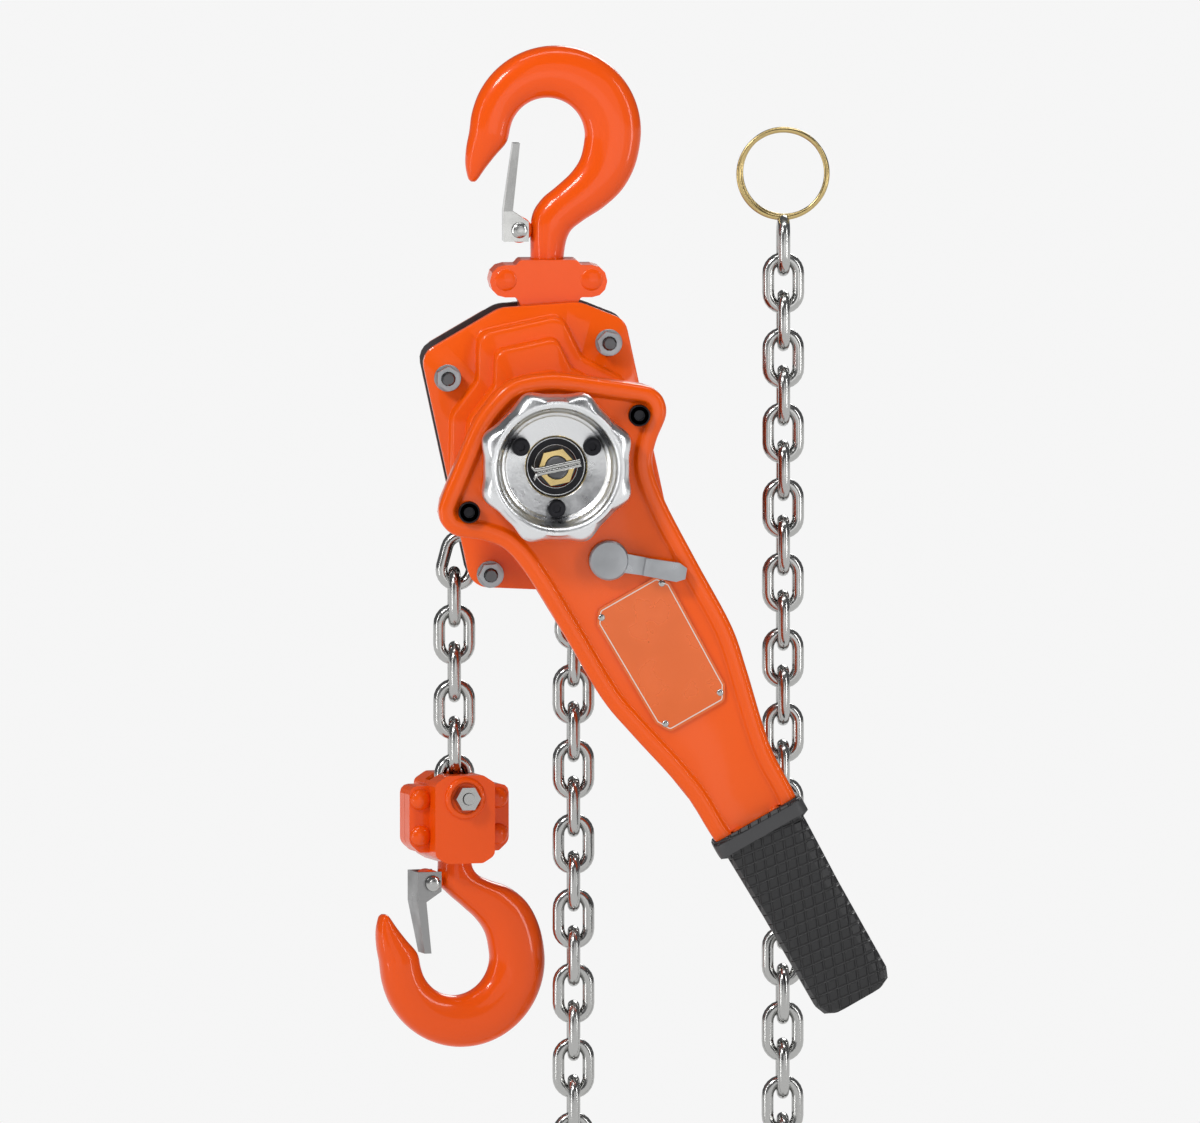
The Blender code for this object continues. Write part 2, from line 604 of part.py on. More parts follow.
def build_drive(frame):
    """Everything that turns about the drive axis, and the reduction gears."""
    steps = [(-22.9, 10.4), (-22.9, 12.8), (-14, 12.8), (-13.4, SHEAVE_R / MM), (-4.4, SHEAVE_R / MM),
             (-4.0, 17), (4.0, 17), (4.4, SHEAVE_R / MM), (13.4, SHEAVE_R / MM), (14, 12.8),
             (20.6, 12.8), (20.6, 10.4)]
    sheave = make("load_sheave", tube_ring([(y * MM, r * MM) for y, r in steps], count=30),
                  DARK_STEEL, frame)
    pockets = bmesh.new()
    for k in range(SHEAVE_POCKETS):
        a = 2 * pi * k / SHEAVE_POCKETS + radians(31) - FRAME_TILT
        ray, way = Vector((cos(a), sin(a))), Vector((-sin(a), cos(a)))
        corners = [ray * 24.3 + way * 15.6, ray * 24.3 - way * 15.6, ray * 40 - way * 19,
                   ray * 40 + way * 19]
        prism([tuple(c * MM) for c in corners], -10.8 * MM, 10.8 * MM, pockets)
    cut(sheave, pockets)

    tooth = pi / WHEEL_TEETH
    gear_y = (21.2 * MM, 30.5 * MM)
    first_y = (34 * MM, 43.5 * MM)
    load_gear = prism(gear_outline(WHEEL_TEETH, pi / 2), *gear_y)
    load_gear = make("load_gear", load_gear, DARK_STEEL, frame)
    cut(load_gear, prism(circle(8.9 * MM, count=24), 10 * MM, 40 * MM))

    shaft = [(-85.5, 4.6), (-84.8, 5.4), (-62.5, 5.4), (-62.5, 7.4), (-45, 7.4), (-45, 8), (-26, 8),
             (-26, 9.8), (20, 9.8), (20, 8.2), (32.5, 8.2), (32.5, 5.6), (50, 5.6), (50.6, 5)]
    shaft = make("drive_shaft", turned([(y * MM, r * MM) for y, r in shaft], count=16), DARK_STEEL,
                 frame)
    join(shaft, prism(gear_outline(PINION_TEETH, pi / 2), first_y[0] + 0.5 * MM, first_y[1] - 0.5 * MM))

    for number, way in ((1, 1), (2, -1)):
        centre = (0, way * GEAR_CENTRES)
        towards = -way * pi / 2
        wheel = gear_outline(WHEEL_TEETH, towards + tooth)
        disc = make(f"disc_gear_{number}", prism(wheel, *first_y), DARK_STEEL, frame,
                    (centre[0], 0, centre[1]))
        pinion = gear_outline(PINION_TEETH, towards + pi / PINION_TEETH)
        join(disc, prism(pinion, gear_y[0] + 0.5 * MM, first_y[0] + 1 * MM)).name = disc.name + "_pinion"
        axle = [(15.4, 4), (52, 4)]
        join(disc, turned([(y * MM, r * MM) for y, r in axle], count=16)).name = disc.name + "_axle"

    hub = [(-44.6, 8.4), (-44.6, 13), (-36.5, 13), (-36.5, 19), (-33.2, 19), (-33.2, 8.4)]
    make("pressure_hub", tube_ring([(y * MM, r * MM) for y, r in hub]), DARK_STEEL, frame)
    seat = [(-32.9, 8.4), (-32.9, 15.2), (-26.6, 15.2), (-26.6, 27), (-23.6, 27), (-23.6, 10.2),
            (-26.4, 10.2), (-26.4, 8.4)]
    make("brake_seat", tube_ring([(y * MM, r * MM) for y, r in seat]), DARK_STEEL, frame)
    make("friction_disc_inner", washer(-28.6 * MM, -26.9 * MM, 15.6 * MM, 22.6 * MM), LINING, frame)
    ratchet = prism(ratchet_outline(14, 23 * MM, 27 * MM, RATCHET_PHASE), -31.6 * MM, -28.9 * MM)
    ratchet = make("ratchet_disc", ratchet, DARK_STEEL, frame, sharp=20)
    cut(ratchet, prism(circle(15.6 * MM, count=28), -50 * MM, -10 * MM))
    make("friction_disc_outer", washer(-33.0 * MM, -31.9 * MM, 15.6 * MM, 22.6 * MM), LINING, frame)

    for number, way in ((1, 1), (2, -1)):
        pivot = (way * 27 * MM, way * -20 * MM)
        axis = axis_empty(f"brake_pawl_{number}_axis", (pivot[0], 0, pivot[1]), parent=frame)
        arm = [(-2.6, -2.8, 1.5), (2.2, -2.8, 1.5), (3.2, 6, 1), (3, 14, 0.3), (-1, 16.5, 0.3),
               (-2, 14, 0.3),
               (0, 12.2, 0.3), (-2.6, 6, 1)]
        pawl = rounded([(x * way, z * way, r) for x, z, r in arm], 2)
        pawl = make(f"brake_pawl_{number}", prism(pawl, -31.4 * MM, -27 * MM), DARK_STEEL, axis)
        join(pawl, turned([(-33 * MM, 2.6 * MM), (-19.4 * MM, 2.6 * MM)], count=12))


def build_hand_wheel(frame):
    count = 48
    lobes = []
    for k in range(count):
        a = 2 * pi * k / count
        wave = WHEEL_LOBES * (a + FRAME_TILT - pi / 8)
        r = WHEEL_R + WHEEL_LOBE * cos(wave) + WHEEL_CORNER * cos(2 * wave)
        lobes.append((r * cos(a), r * sin(a)))

    def ring(radius):
        return circle(radius * MM, count=count)

    rings = [(ring(10), -71.5), (scaled(lobes, 0.9), -71.5), (scaled(lobes, 0.985), -74), (lobes, -77),
             (lobes, -84), (scaled(lobes, 0.96), -88.6), (ring(31.6), -91), (ring(29.6), -90.6),
             (ring(27.6), -88), (ring(26.6), -81), (ring(24.8), -79), (ring(14.2), -79),
             (ring(13.6), -75.6), (ring(10), -75.6)]
    make("hand_wheel", skin(bmesh.new(), [level(o, y * MM) for o, y in rings], wrap=True),
         CAST_ALUMINIUM, frame)
    for number in range(3):
        a = -pi / 2 - FRAME_TILT + 2 * pi * number / 3
        steps = [(-79.3, 4.4), (-82.6, 4.4), (-83.2, 3.9), (-83.2, 2.2), (-81, 2.2)]
        screw = turned([(y * MM, r * MM) for y, r in steps], count=14)
        place = (19.6 * MM * cos(a), 0, 19.6 * MM * sin(a))
        make(f"wheel_screw_{number + 1}", screw, BLACK_OXIDE, frame, place)
    nut = prism(circle(9.2 * MM, count=6), -83.6 * MM, -76 * MM)
    nut = make("castle_nut", nut, YELLOW_ZINC, frame)
    slot = [(-15 * MM, -1.4 * MM), (15 * MM, -1.4 * MM), (15 * MM, 1.4 * MM), (-15 * MM, 1.4 * MM)]
    cut(nut, prism(slot, -90 * MM, -80.6 * MM)).name = "castle_nut_slot"
    cut(nut, prism(circle(5.8 * MM, count=20), -95 * MM, -60 * MM)).name = "castle_nut_bore"
    change = prism(ratchet_outline(12, 17.2 * MM, 20.7 * MM), -62 * MM, -52.5 * MM)
    change = make("change_gear", change, DARK_STEEL, frame, sharp=20)
    join(change, turned([(-71.2 * MM, 9.7 * MM), (-46 * MM, 12.6 * MM)], count=24))
    bore = [(-80, 5.8), (-62.9, 5.8), (-62.9, 7.8), (-40, 7.8)]
    cut(change, turned([(y * MM, r * MM) for y, r in bore], count=20))


# --- lever --------------------------------------------------------------------------------
LEVER_SIDE = [(-45, 0), (-43.2, 9), (-37.5, 22), (-24.5, 39.5), (-12, 55.5), (-7, 59.4), (-1, 60.4),
              (6, 57.4), (14.5, 47), (24, 40), (42, 37), (74, 36), (108, 35.4), (130, 31.4),
              (156, 25.4), (172, 22.8), (196.5, 21.6), (200.4, 15.4), (278, 14.8)]


def lever_outline():
    """Closed outline in the lever's axes: x across it, z towards its head."""
    right = [(q * MM, -p * MM) for p, q in LEVER_SIDE]
    left = [(-x, z) for x, z in reversed(right) if x > 0]
    return right + left


def lever_cuts(y0, y1):
    bm = prism(circle(16 * MM, count=28), y0, y1)
    for way in (-1, 1):
        prism(circle(3.2 * MM, (way * LEVER_BOLT_Q, 1 * MM), 12), y0, y1, bm)
    return prism(circle(4.3 * MM, (0, -SELECTOR_P), 14), y0, y1, bm)


def pressed_shell(outline, open_y, face_y, panel):
    """Half of the lever as one skin: a tray whose rim is at open_y, with a sunk panel."""
    way = 1 if face_y > open_y else -1
    deep = face_y - way * panel
    steps = [(8.6, deep), (7, face_y), (3, face_y), (0.9, face_y - way * 0.9 * MM),
             (0, face_y - way * 3 * MM), (0, open_y), (2, open_y), (2, deep - way * 3.4 * MM),
             (4.5, deep - way * SHEET)]
    return skin(bmesh.new(), [level(inset(outline, depth * MM), y) for depth, y in steps])


def build_lever(lever):
    outline = lever_outline()
    front = pressed_shell(outline, LEVER_SPLIT_Y - 0.2 * MM, LEVER_FRONT_Y, 2.4 * MM)
    front = make("lever_front_shell", front, ORANGE, lever)
    cut(front, lever_cuts(-80 * MM, -50 * MM))
    rear = pressed_shell(outline, LEVER_SPLIT_Y + 0.2 * MM, LEVER_BACK_Y, 1.2 * MM)
    rear = make("lever_rear_shell", rear, ORANGE, lever)
    cut(rear, lever_cuts(-65 * MM, -30 * MM))

    def grip_box(p, half_q, y0, y1, corner):
        """A rounded rectangle across the lever at distance p along it."""
        middle, half_y = (y0 + y1) / 2, (y1 - y0) / 2
        ring = []
        for sx, sy in ((1, 1), (-1, 1), (-1, -1), (1, -1)):
            for k in range(3):
                a = {(1, 1): 0, (-1, 1): pi / 2, (-1, -1): pi, (1, -1): 3 * pi / 2}[(sx, sy)] + k * pi / 4
                ring.append((sx * (half_q - corner) * MM + corner * MM * cos(a),
                             (middle + sy * (half_y - corner) + corner * sin(a)) * MM, -p * MM))
        return ring

    outer = [(194.5, 22.8, 6), (196, 23.8, 6), (203, 23.8, 6), (204.5, 20.6, 6), (240, 19.6, 6),
             (287, 19.4, 6), (292, 17.4, 6), (294, 13, 5)]
    stack = [grip_box(p, q, -72.4 if q < 23 else -73.4, -42.6 if q < 23 else -41.8, c) for p, q, c in outer]
    stack.reverse()
    cavity = [(194.5, 22.0), (198.2, 22.0), (200.6, 17.0), (281, 16.4)]
    stack += [grip_box(p, q, -69.6, -45.4, 2) for p, q in cavity]
    make("lever_grip", skin(bmesh.new(), stack), RUBBER, lever)

    for number, way in ((1, 1), (2, -1)):
        steps = [(-44.4, 4.6), (-45.7, 4.6), (-45.7, 2.8), (-69.3, 2.8), (-69.3, 5.2), (-72.2, 5.2),
                 (-72.8, 4.7), (-72.8, 2.6), (-71, 2.6)]
        screw = turned([(y * MM, r * MM) for y, r in steps], count=14)
        make(f"lever_screw_{number}", screw, BLACK_OXIDE, lever, (way * LEVER_BOLT_Q, 0, 1 * MM))

    plate = rounded([(-16, -70, 3), (16, -70, 3), (20, -76, 2), (19, -131, 2), (15, -138, 3),
                     (-15, -138, 3), (-19, -131, 2), (-20, -76, 2)], 2)
    make("nameplate", prism(plate, -67.7 * MM, -66.9 * MM), LABEL, lever)

    selector = axis_empty("selector_axis", (0, 0, -SELECTOR_P), turn=-SELECTOR_TURN, parent=lever)
    steps = [(-49.5, 3.8), (-66.9, 3.8), (-66.9, 9.5), (-71.6, 9.5), (-72.4, 8.7)]
    knob = turned([(y * MM, r * MM) for y, r in steps], count=28)
    knob = make("selector_lever", knob, ZINC, selector)
    low_arm = [(-4.6, -6), (4.6, -6), (4.2, -20), (-4.2, -20)]
    high_arm = [(-4.2, -17), (4.2, -17), (4.6, -33), (2.6, -37), (-2.6, -37), (-4.6, -33)]
    join(knob, prism([(x * MM, z * MM) for x, z in low_arm], -72 * MM, -69.6 * MM)).name = "selector_low_arm"
    join(knob, prism([(x * MM, z * MM) for x, z in high_arm], -74.6 * MM, -71 * MM)).name = "selector_high_arm"
    horn = [(-7, -7, 3), (7, -7, 3), (9, 4, 2), (23, 22.5, 0.6), (18.5, 28, 0.6), (5, 10, 2), (-5, 10, 2),
            (-18.5, 28, 0.6), (-23, 22.5, 0.6), (-9, 4, 2)]
    c, s = cos(SELECTOR_TURN), sin(SELECTOR_TURN)
    horn = [(x * c + z * s, z * c - x * s) for x, z in rounded(horn, 2)]
    pawl = make("selector_pawl", prism(horn, -61.5 * MM, -53 * MM), DARK_STEEL, selector)
    cut(pawl, prism(circle(4.1 * MM, count=16), -80 * MM, -40 * MM))


# --- slack chain and its ring -------------------------------------------------------------
def build_slack_chain(frame):
    route = [Vector((x * MM, 0, z * MM)) for x, z in SLACK_ROUTE]
    path = smooth_path(route, 30 * MM)
    curve = bpy.data.curves.new("slack_chain", "CURVE")
    curve.dimensions = "3D"
    curve.bevel_depth = SLACK_TUBE_R
    curve.bevel_resolution = 1
    curve.use_fill_caps = True
    spline = curve.splines.new("POLY")
    spline.points.add(len(path) - 1)
    for point, place in zip(spline.points, path):
        point.co = (*place, 1)
    curve.materials.append(finish("slack_chain", ZINC))
    tube = bpy.data.objects.new("slack_chain", curve)
    bpy.context.scene.collection.objects.link(tube)

    contact = RING_CENTRE - Vector((0, 0, RING_R))
    axis = axis_empty("end_ring_axis", contact)
    rings, around, across = [], 26, 6
    for k in range(around):
        a = 2 * pi * k / around
        out = Vector((cos(a), 0, sin(a)))
        ring = []
        for j in range(across):
            b = 2 * pi * j / across
            offset = out * (RING_WIRE * cos(b)) + Vector((0, RING_WIRE * sin(b), 0))
            ring.append(Vector((0, 0, RING_R)) + out * RING_R + offset)
        rings.append(ring)
    make("end_ring", skin(bmesh.new(), rings, wrap=True), YELLOW_ZINC, axis, sharp=60)


def main():
    clear_scene()
    frame = axis_empty("drive_axis", (0, 0, -DRIVE_DROP), turn=-FRAME_TILT)
    lever = axis_empty("lever_axis", (0, 0, -DRIVE_DROP), turn=-LEVER_TILT)
    build_top_hook()
    build_top_yoke()
    build_frame(frame)
    build_drive(frame)
    build_hand_wheel(frame)
    build_lever(lever)
    build_chain()
    build_bottom_block()
    build_slack_chain(frame)


main()
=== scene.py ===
"""Looks for the lever chain hoist: the camera, the light, the materials and the detailed pieces.

Places come from the frame's boxes and from the few driving dimensions below, in metres. The
frame's origin is the top hook's saddle; +Z is up and +Y runs away from the hand wheel side.
"""

import json
from math import atan2, cos, pi, radians, sin

import bmesh
import bpy
from mathutils import Matrix, Vector


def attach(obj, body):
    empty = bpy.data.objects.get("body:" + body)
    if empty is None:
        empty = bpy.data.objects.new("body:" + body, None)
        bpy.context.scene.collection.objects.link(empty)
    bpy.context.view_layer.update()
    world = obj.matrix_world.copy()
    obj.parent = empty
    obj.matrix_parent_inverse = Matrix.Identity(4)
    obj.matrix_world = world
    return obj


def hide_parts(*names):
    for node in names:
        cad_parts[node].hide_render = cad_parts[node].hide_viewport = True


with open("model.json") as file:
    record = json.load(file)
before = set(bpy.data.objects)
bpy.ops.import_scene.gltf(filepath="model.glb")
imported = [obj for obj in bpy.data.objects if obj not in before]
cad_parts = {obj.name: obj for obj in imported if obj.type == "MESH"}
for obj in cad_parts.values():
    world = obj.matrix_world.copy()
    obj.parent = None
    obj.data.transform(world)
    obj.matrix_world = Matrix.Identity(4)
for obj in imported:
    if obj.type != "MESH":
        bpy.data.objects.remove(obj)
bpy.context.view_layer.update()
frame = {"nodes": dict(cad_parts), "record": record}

MM = 0.001

# --- driving dimensions -------------------------------------------------------------------
DRIVE = Vector((0, 0, -171.5)) * MM      # where the drive axis crosses the chain's plane
FRAME_TILT = radians(12.2)
LEVER_TILT = radians(29.5)
LOAD_X = -44.6 * MM
BLOCK_PIN_Z = -334.6 * MM
BLOCK_YAW = radians(15)
FIRST_LINK_Z = -329.2 * MM
LOAD_LINKS = 6

CHAIN_WIRE = 2.9 * MM
CHAIN_PITCH = 18 * MM
CHAIN_HALF_WIDTH = 10.1 * MM
SHEAVE_LINK_R = 27.7 * MM

BOWL_R = 18 * MM
HOOK_OUTER_R = 41 * MM
HOOK_OUTER_SHIFT = Vector((4 * MM, -2 * MM))
HOOK_HALF_THICK = 8.6 * MM
BOTTOM_BOWL_Z = -413 * MM
TOP_NECK = 58 * MM
BOTTOM_NECK = 47 * MM

STAY_U = 39.4 * MM
STAY_V = 48.1 * MM
LEVER_BOLT_Q = 46.5 * MM
WHEEL_SCREWS_R = 19.6 * MM

WHEEL_R = 35.7 * MM
WHEEL_LOBE = 1.6 * MM
WHEEL_CORNER = 0.35 * MM
WHEEL_LOBES = 8

RING_R = 20.9 * MM
RING_CENTRE = Vector((113.3 * MM, 0, -36.5 * MM))

# The slack chain's route, as part.py has it.
SLACK_ROUTE = [
    (22.5, -205.0), (18.3, -227.0), (14.6, -246.0), (12.9, -266.0), (12.6, -300.0),
    (12.6, -360.0), (12.6, -430.0), (12.6, -500.0), (12.6, -570.0), (12.6, -640.0),
    (12.6, -700.0), (13.6, -745.0), (19.0, -786.0), (34.0, -817.0), (63.0, -830.0),
    (92.0, -817.0), (106.9, -786.0), (112.3, -745.0), (113.3, -700.0), (113.3, -640.0),
    (113.3, -570.0), (113.3, -500.0), (113.3, -430.0), (113.3, -360.0), (113.3, -290.0),
    (113.3, -220.0), (113.3, -150.0), (113.3, -100.0), (113.3, -61.0),
]

# Outlines in the frame's axes and in millimetres, as (x, z, corner radius).
PLATE = [(-49.5, 62, 9), (-8, 75.5, 14), (30, 70, 14), (49.5, 57, 9),
         (49.5, -52, 10), (8, -63, 20), (-8, -63, 20), (-49.5, -52, 10)]
STEP_ONE = [(-21, 66.5, 7), (20, 66.5, 7), (25, 45, 6), (42, 31, 10), (49, 0, 26), (35, -35, 26),
            (0, -49, 26), (-35, -35, 26), (-49, 0, 26), (-42, 31, 10), (-26, 45, 6)]
STEP_TWO = [(-15, 57, 5), (15, 57, 5), (19, 41, 5), (35, 27, 12), (42, 0, 24), (30, -30, 24),
            (0, -42, 24), (-30, -30, 24), (-42, 0, 24), (-35, 27, 12), (-19, 41, 5)]

# Half of the lever's outline: along it from the drive axis, and across.
LEVER_SIDE = [(-45, 0), (-43.2, 9), (-37.5, 22), (-24.5, 39.5), (-12, 55.5), (-7, 59.4), (-1, 60.4),
              (6, 57.4), (14.5, 47), (24, 40), (42, 37), (74, 36), (108, 35.4), (130, 31.4),
              (156, 25.4), (172, 22.8), (196.5, 21.6), (200.4, 15.4), (278, 14.8)]

# Where these lie along Y, in millimetres too: the cover's seat and top, the lever's face and
# its open edge.
PLATE_FRONT = -19.3
COVER_TOP = -43.3
LEVER_FACE = -69.0
LEVER_OPEN = -57.2

# --- view ---------------------------------------------------------------------------------
VIEW_TARGET = Vector((20.1, -91, -215.7)) * MM
VIEW_WIDTH = 568.7 * MM
VIEW_FROM = Vector((-0.058, -1, 0.075))
VIEW_DISTANCE = 8.0
SENSOR = 36.0
FLOOR_Z = -0.9
BACKDROP = (0.92, 0.92, 0.92)
DIM_ROOM = (0.13, 0.13, 0.135)     # what metal mirrors where no lamp or floor shows


# --- materials ----------------------------------------------------------------------------
def new_material(name, colour, roughness, metallic=0.0, coat=0.0):
    material = bpy.data.materials.new(name)
    material.use_nodes = True
    shader = material.node_tree.nodes["Principled BSDF"]
    shader.inputs["Base Color"].default_value = (*colour, 1)
    shader.inputs["Roughness"].default_value = roughness
    shader.inputs["Metallic"].default_value = metallic
    shader.inputs["Coat Weight"].default_value = coat
    shader.inputs["Coat Roughness"].default_value = 0.08
    return material


def link(material, source, target):
    material.node_tree.links.new(source, target)


def object_space(material, scale=(1, 1, 1), turn=0.0):
    """The row frame's coordinates, turned about Y, for a texture to read."""
    nodes = material.node_tree.nodes
    where = nodes.new("ShaderNodeTexCoord")
    mapping = nodes.new("ShaderNodeMapping")
    mapping.inputs["Rotation"].default_value = (0, turn, 0)
    mapping.inputs["Scale"].default_value = scale
    link(material, where.outputs["Object"], mapping.inputs["Vector"])
    return mapping.outputs["Vector"]


def noise(material, scale, detail=3.0, stretch=(1, 1, 1)):
    node = material.node_tree.nodes.new("ShaderNodeTexNoise")
    node.inputs["Scale"].default_value = scale
    node.inputs["Detail"].default_value = detail
    link(material, object_space(material, stretch), node.inputs["Vector"])
    return node.outputs["Fac"]


def spread(material, value, low, high):
    """The value, from 0.3 to 0.7, spread from low to high."""
    node = material.node_tree.nodes.new("ShaderNodeMapRange")
    node.inputs["From Min"].default_value = 0.3
    node.inputs["From Max"].default_value = 0.7
    node.inputs["To Min"].default_value = low
    node.inputs["To Max"].default_value = high
    link(material, value, node.inputs["Value"])
    return node.outputs["Result"]


def bumpy(material, height, distance, strength=1.0):
    node = material.node_tree.nodes.new("ShaderNodeBump")
    node.inputs["Distance"].default_value = distance
    node.inputs["Strength"].default_value = strength
    link(material, height, node.inputs["Height"])
    shader = material.node_tree.nodes["Principled BSDF"]
    link(material, node.outputs["Normal"], shader.inputs["Normal"])
    return material


def paint(name, colour):
    """Gloss paint over pressed or forged steel: a clear coat with a trace of orange peel."""
    material = new_material(name, colour, 0.34, coat=0.42)
    shader = material.node_tree.nodes["Principled BSDF"]
    shader.inputs["Specular IOR Level"].default_value = 0.12
    link(material, spread(material, noise(material, 45), 0.28, 0.42), shader.inputs["Roughness"])
    return bumpy(material, noise(material, 420, 2), 0.00022, 0.35)


def metal(name, colour, roughness, grain=300.0, depth=0.00008, stretch=(1, 1, 1)):
    material = new_material(name, colour, roughness, metallic=1.0)
    shader = material.node_tree.nodes["Principled BSDF"]
    rough = spread(material, noise(material, 90), roughness * 0.75, roughness * 1.35)
    link(material, rough, shader.inputs["Roughness"])
    return bumpy(material, noise(material, grain, 4, stretch), depth, 0.6)


def grip_rubber(name):
    """Black rubber whose front and back carry a diamond pattern of crossing grooves."""
    material = new_material(name, (0.013, 0.013, 0.014), 0.5)
    nodes = material.node_tree.nodes
    heights = []
    for way in (-1, 1):
        wave = nodes.new("ShaderNodeTexWave")
        wave.wave_type = "BANDS"
        wave.bands_direction = "X"
        wave.inputs["Scale"].default_value = 62.0
        place = object_space(material, turn=-LEVER_TILT + way * radians(38))
        link(material, place, wave.inputs["Vector"])
        heights.append(wave.outputs["Fac"])
    both = nodes.new("ShaderNodeMath")
    both.operation = "MINIMUM"
    link(material, heights[0], both.inputs[0])
    link(material, heights[1], both.inputs[1])
    groove = nodes.new("ShaderNodeMapRange")
    groove.inputs["From Min"].default_value = 0.0
    groove.inputs["From Max"].default_value = 0.2
    link(material, both.outputs[0], groove.inputs["Value"])
    return bumpy(material, groove.outputs["Result"], 0.0011, 0.9)


def nameplate_foil(name):
    material = new_material(name, (0.70, 0.12, 0.014), 0.28, metallic=0.35, coat=0.3)
    shader = material.node_tree.nodes["Principled BSDF"]
    link(material, spread(material, noise(material, 60), 0.22, 0.36), shader.inputs["Roughness"])
    return material


BODY_PAINT = paint("body_paint", (0.80, 0.092, 0.001))
HOOK_PAINT = paint("hook_paint", (0.78, 0.080, 0.001))
ALUMINIUM = metal("cast_aluminium", (0.74, 0.75, 0.76), 0.30, grain=700, depth=0.0002)
ZINC = metal("bright_zinc", (0.45, 0.45, 0.44), 0.19)
SATIN = metal("satin_steel", (0.36, 0.37, 0.385), 0.36)
DARK_STEEL = metal("dark_steel", (0.12, 0.12, 0.125), 0.42)
LATCH_STEEL = metal("latch_steel", (0.30, 0.30, 0.30), 0.36)
BLACK_OXIDE = metal("black_oxide", (0.025, 0.025, 0.028), 0.36)
YELLOW_ZINC = metal("yellow_zinc", (0.50, 0.38, 0.17), 0.24)
RUBBER = grip_rubber("grip_rubber")
LINING = new_material("brake_lining", (0.12, 0.09, 0.07), 0.85)
LABEL = nameplate_foil("nameplate_foil")
SILVER_INK = new_material("silver_ink", (0.70, 0.62, 0.56), 0.35, metallic=0.4)

LOOKS = {
    "hook_paint": HOOK_PAINT, "body_paint": BODY_PAINT, "cast_aluminium": ALUMINIUM,
    "bright_zinc": ZINC, "dark_steel": DARK_STEEL, "black_oxide": BLACK_OXIDE,
    "rubber": RUBBER, "yellow_zinc": YELLOW_ZINC, "brake_lining": LINING, "label": LABEL,
}
SPECIAL = {"rear_side_plate": DARK_STEEL, "selector_lever": SATIN,
           "stay_bolt_1": DARK_STEEL, "stay_bolt_2": DARK_STEEL, "stay_bolt_3": DARK_STEEL,
           "stay_bolt_4": DARK_STEEL, "stay_nut_1": SATIN, "stay_nut_2": SATIN, "stay_nut_3": SATIN,
           "stay_nut_4": SATIN, "bottom_latch": LATCH_STEEL, "selector_pawl": DARK_STEEL}
SOFT_EDGES = {
    "front_side_plate": 0.6, "rear_side_plate": 0.6, "top_yoke_front": 1.6, "top_yoke_rear": 1.6,
    "bottom_block_front": 1.6, "bottom_block_rear": 1.6, "gear_case": 0.7, "lever_rear_shell": 0.5,
    "lever_grip": 1.2, "selector_lever": 0.6, "chain_pin_nut": 0.5, "castle_nut": 0.5,
    "stay_nut_1": 0.5, "stay_nut_2": 0.5, "stay_nut_3": 0.5, "stay_nut_4": 0.5,
    "top_latch": 0.4, "bottom_latch": 0.4,
}


def dress_cad_nodes():
    """Gives each node its material and the edges a real piece has, without touching its mesh."""
    slots = {row["node"]: row["material_slot"] for row in frame["record"]["subparts"]}
    for name, obj in frame["nodes"].items():
        look = SPECIAL.get(name, LOOKS[slots[name]])
        for place in obj.material_slots:
            place.material = look
        if name in SOFT_EDGES:
            bevel = obj.modifiers.new("soft_edges", "BEVEL")
            bevel.width = SOFT_EDGES[name] * MM
            bevel.segments = 3
            bevel.limit_method = "ANGLE"
            bevel.angle_limit = radians(35)
            bevel.harden_normals = True


# --- mesh helpers -------------------------------------------------------------------------
def make(name, bm, material, body, sharp=35, matrix=None):
    """A shaded piece that rides on a body, in the material it is given."""
    bmesh.ops.recalc_face_normals(bm, faces=bm.faces)
    mesh = bpy.data.meshes.new(name)
    bm.to_mesh(mesh)
    bm.free()
    mesh.materials.append(material)
    mesh.shade_smooth()
    mesh.set_sharp_from_angle(angle=radians(sharp))
    obj = bpy.data.objects.new(name, mesh)
    if matrix is not None:
        mesh.transform(matrix)
    bpy.context.scene.collection.objects.link(obj)
    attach(obj, body)
    return obj


def skin(bm, rings, wrap=False, cap=True, matrix=None):
    """Faces between rings of equal length: wrap closes last to first, cap closes both ends."""
    if matrix is not None:
        rings = [[matrix @ Vector(point) for point in ring] for ring in rings]
    loops = [[bm.verts.new(point) for point in ring] for ring in rings]
    pairs = list(zip(loops, loops[1:]))
    if wrap:
        pairs.append((loops[-1], loops[0]))
    for first, second in pairs:
        for i in range(len(first)):
            j = (i + 1) % len(first)
            bm.faces.new((first[i], first[j], second[j], second[i]))
    if cap and not wrap:
        bm.faces.new(loops[0])
        bm.faces.new(loops[-1])
    return bm


def level(outline, y):
    return [(x, y, z) for x, z in outline]


def circle(radius, centre=(0, 0), count=48, phase=0.0):
    steps = [phase + 2 * pi * i / count for i in range(count)]
    return [(centre[0] + radius * cos(a), centre[1] + radius * sin(a)) for a in steps]


def turned(bm, profile, count=48, matrix=None, wrap=False):
    """A solid turned about Y, from (y, radius) steps in millimetres."""
    rings = [level(circle(radius * MM, count=count), y * MM) for y, radius in profile]
    return skin(bm, rings, wrap=wrap, matrix=matrix)


def scaled(outline, factor):
    return [(x * factor, z * factor) for x, z in outline]


def catmull(points, steps, closed=False):
    """A Catmull-Rom curve through the points, with steps between each two."""
    if closed:
        ends = [points[-1], *points, points[0], points[1]]
    else:
        ends = [points[0] * 2 - points[1], *points, points[-1] * 2 - points[-2]]
    fine = []
    for a, b, c, d in zip(ends, ends[1:], ends[2:], ends[3:]):
        for k in range(steps):
            t = k / steps
            fine.append(
                0.5 * (2 * b + (c - a) * t + (2 * a - 5 * b + 4 * c - d) * t ** 2
                       + (3 * b - a - 3 * c + d) * t ** 3)
            )
    if not closed:
        fine.append(points[-1])
    return fine


